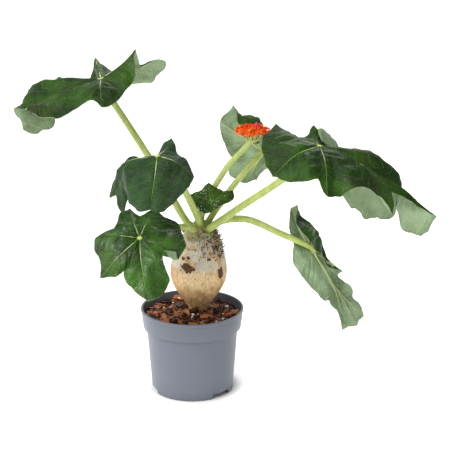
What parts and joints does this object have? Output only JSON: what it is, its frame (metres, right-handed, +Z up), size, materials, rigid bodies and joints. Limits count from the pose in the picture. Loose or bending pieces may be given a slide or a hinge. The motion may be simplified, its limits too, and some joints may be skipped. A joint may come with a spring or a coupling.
{
  "type": "potted buddha belly plant",
  "caption": "Buddha belly plant in a round nursery pot: swollen caudex in bark soil, long-stalked drooping lobed leaves and an orange-red flower head.",
  "frame": {"origin": "centre of the pot's flat underside, on the surface it stands on", "axes": "+Z up, +X to the right as seen from the front, +Y away from the front"},
  "size_m": [0.5098, 0.2411, 0.4399],
  "materials": {
    "pot": "satin",
    "soil": "matte",
    "caudex": "matte",
    "stalk": "satin",
    "leaf": "satin",
    "young_leaf": "gloss",
    "flower": "matte"
  },
  "bodies": {
    "root": {"pot": "pot", "soil": "soil", "caudex": "caudex", "leaf_upper_left": "leaf", "petiole_upper_left": "stalk", "leaf_mid_left": "leaf", "petiole_mid_left": "stalk", "leaf_lower_left": "leaf", "petiole_lower_left": "stalk", "leaf_right": "leaf", "petiole_right": "stalk", "leaf_lower_right": "leaf", "petiole_lower_right": "stalk", "leaf_back": "leaf", "petiole_back": "stalk", "leaf_young": "young_leaf", "petiole_young": "stalk", "flower_stalk": "stalk", "flower_head": "flower"}
  },
  "joints": []
}
